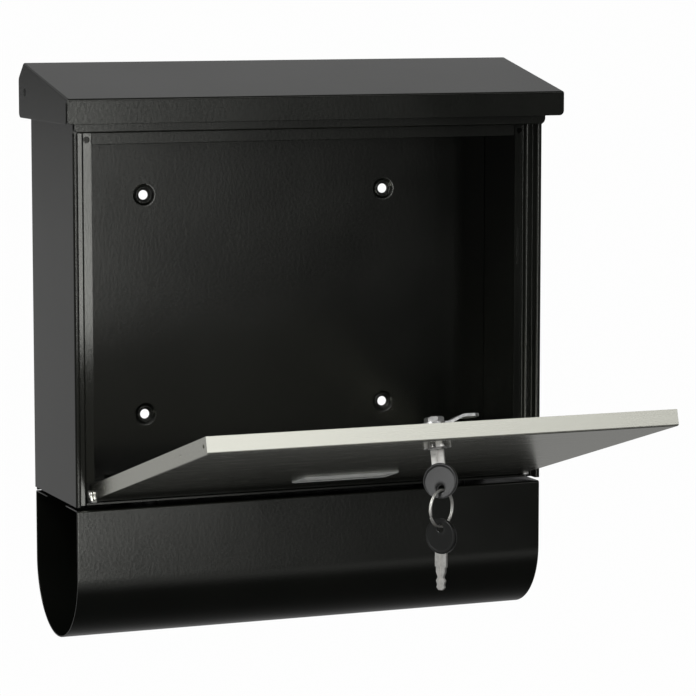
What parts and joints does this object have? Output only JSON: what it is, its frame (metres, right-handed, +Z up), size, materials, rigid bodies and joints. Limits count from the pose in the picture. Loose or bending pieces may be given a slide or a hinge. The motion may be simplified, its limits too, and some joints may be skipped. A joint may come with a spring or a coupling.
{
  "type": "wall mounted mailbox",
  "caption": "Black wall mailbox with a sloped lifting roof, a steel drop-down door with nameplate, cam lock and keys on a ring, and an open newspaper roll below.",
  "frame": {"origin": "centre of the rectangle of wall holes, on the wall's face", "axes": "+X to the viewer's right, +Y into the wall, +Z up; the front faces -Y"},
  "size_m": [0.3784, 0.3417, 0.4102],
  "materials": {
    "black_coat": "fine-textured satin powder coat",
    "door_steel": "brushed stainless sheet",
    "hinge_steel": "plain stainless",
    "dark_pin": "blackened rivet",
    "zinc": "bright zinc plate",
    "lock_metal": "polished nickel on die casting",
    "plate_frame": "silver-grey moulding",
    "plate_window": "clear sheet",
    "plate_card": "plain paper card",
    "key_metal": "nickel plate",
    "key_grip": "moulded plastic, bare"
  },
  "bodies": {
    "box": {"back_panel": "black_coat", "left_wall": "black_coat", "right_wall": "black_coat", "floor_panel": "black_coat", "front_header": "black_coat", "top_stop_rail": "black_coat", "left_stop_rail": "black_coat", "right_stop_rail": "black_coat", "newspaper_roll": "black_coat", "roll_spacers": "zinc", "roll_screws": "zinc", "roll_nuts": "zinc", "hinge_bracket_left": "hinge_steel", "hinge_bracket_right": "hinge_steel", "hinge_pin_left": "hinge_steel", "hinge_pin_right": "hinge_steel", "lid_pin_left": "dark_pin", "lid_pin_right": "dark_pin"},
    "roof": {"roof_lid": "black_coat"},
    "door": {"door_panel": "door_steel", "nameplate_frame": "plate_frame", "nameplate_window": "plate_window", "name_card": "plate_card", "lock_housing": "lock_metal", "lock_nut": "zinc"},
    "plug": {"lock_plug": "lock_metal", "lock_wafers": "lock_metal", "lock_cam": "zinc", "cam_nut": "zinc"},
    "key": {"key_blade": "key_metal", "key_bow": "key_grip"},
    "ring": {"key_ring": "key_metal"},
    "spare": {"spare_blade": "key_metal", "spare_bow": "key_grip"}
  },
  "joints": [
    {"name": "door_hinge", "type": "hinge", "parent": "box", "child": "door", "pos_m": [0, -0.0985, -0.1224], "axis": [-1, 0, 0], "range_deg": [0, 74.35]},
    {"name": "roof_hinge", "type": "hinge", "parent": "box", "child": "roof", "pos_m": [0, -0.018, 0.158], "axis": [-1, 0, 0], "range_deg": [0, 50]},
    {"name": "lock_turn", "type": "hinge", "parent": "door", "child": "plug", "pos_m": [0, -0.31843, -0.06079], "axis": [0, -0.2698, -0.9629], "range_deg": [0, 90]},
    {"name": "key_pull", "type": "slide", "parent": "plug", "child": "key", "axis": [0, -0.2698, -0.9629], "range_m": [0, 0.024]},
    {"name": "ring_swing", "type": "hinge", "parent": "key", "child": "ring", "pos_m": [0, -0.32779, -0.0942], "axis": [0.866, 0.5, 0], "range_deg": [-75, 75]},
    {"name": "spare_swing", "type": "hinge", "parent": "ring", "child": "spare", "pos_m": [0, -0.32779, -0.1185], "axis": [0.866, 0.5, 0], "range_deg": [-40, 40]}
  ]
}
